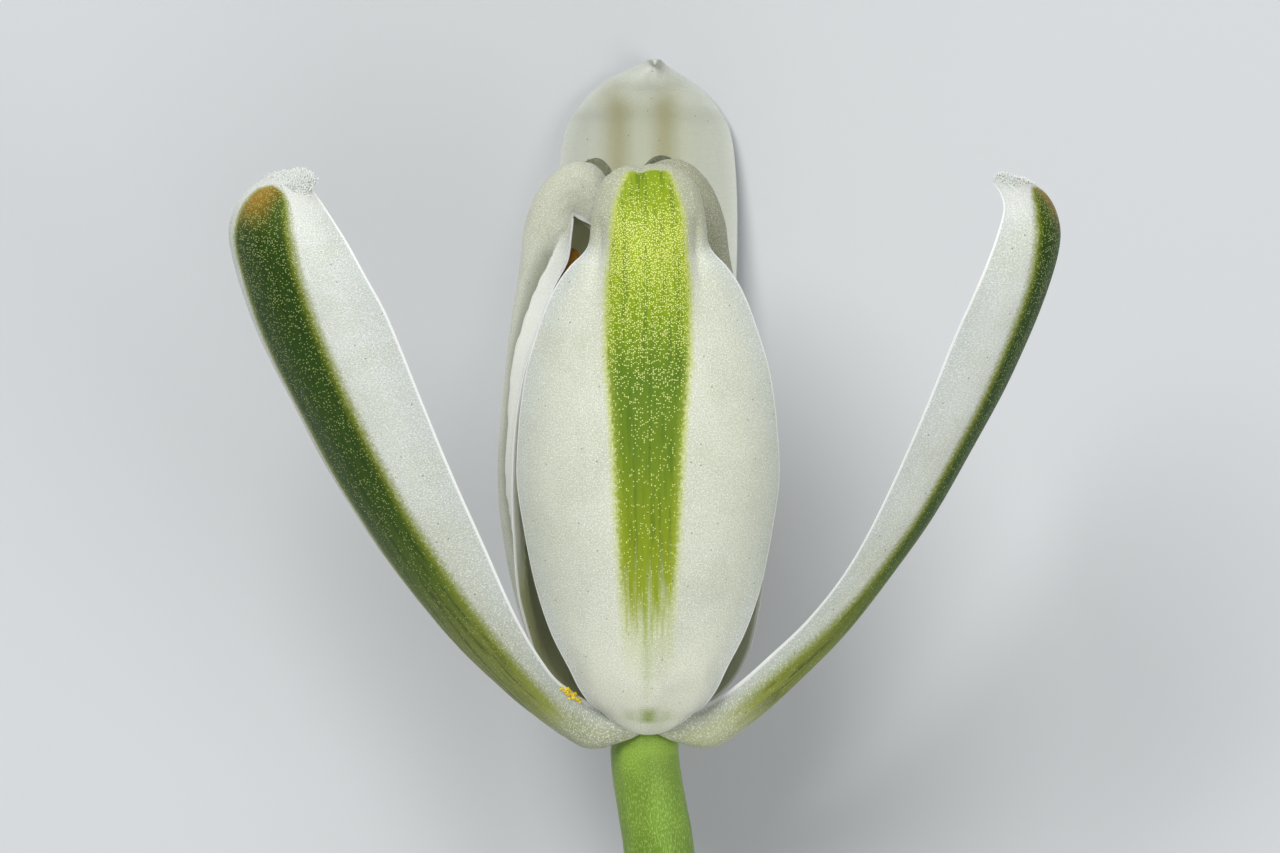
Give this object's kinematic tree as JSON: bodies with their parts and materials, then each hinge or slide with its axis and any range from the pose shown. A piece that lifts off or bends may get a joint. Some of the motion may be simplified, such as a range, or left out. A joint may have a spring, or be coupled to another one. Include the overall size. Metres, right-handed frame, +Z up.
{
  "type": "slime lily flower",
  "caption": "Slime lily flower lying on its back tepal and cut stalk: white tepals with green stripes, spreading outer ones and upright hooded inner ones.",
  "frame": {"origin": "middle of the bounding box's lowest face, on the surface that the flower lies on", "axes": "+Y from the stalk's cut end towards the flower's tip, +Z up out of the face of its front inner tepal, +X to that tepal's right"},
  "size_m": [0.029, 0.0582, 0.0229],
  "materials": {
    "stalk": "satin green skin with fine pale specks",
    "outer_tepal": "satin white flesh with a dark green stripe down the back",
    "inner_tepal": "glistening white flesh with a yellow-green stripe down the back",
    "pistil": "satin pale green flesh",
    "filament": "satin greenish white flesh",
    "anther": "matt orange-brown, powdery"
  },
  "bodies": {
    "root": {"stalk": "stalk", "outer_tepal_left": "outer_tepal", "outer_tepal_right": "outer_tepal", "outer_tepal_back": "outer_tepal", "inner_tepal_front": "inner_tepal", "inner_tepal_left": "inner_tepal", "inner_tepal_right": "inner_tepal", "pistil": "pistil", "filament_inner_front": "filament", "filament_inner_left": "filament", "filament_inner_right": "filament", "filament_outer_left": "filament", "filament_outer_right": "filament", "filament_outer_back": "filament", "anther_front": "anther", "anther_left": "anther", "anther_right": "anther"}
  },
  "joints": []
}
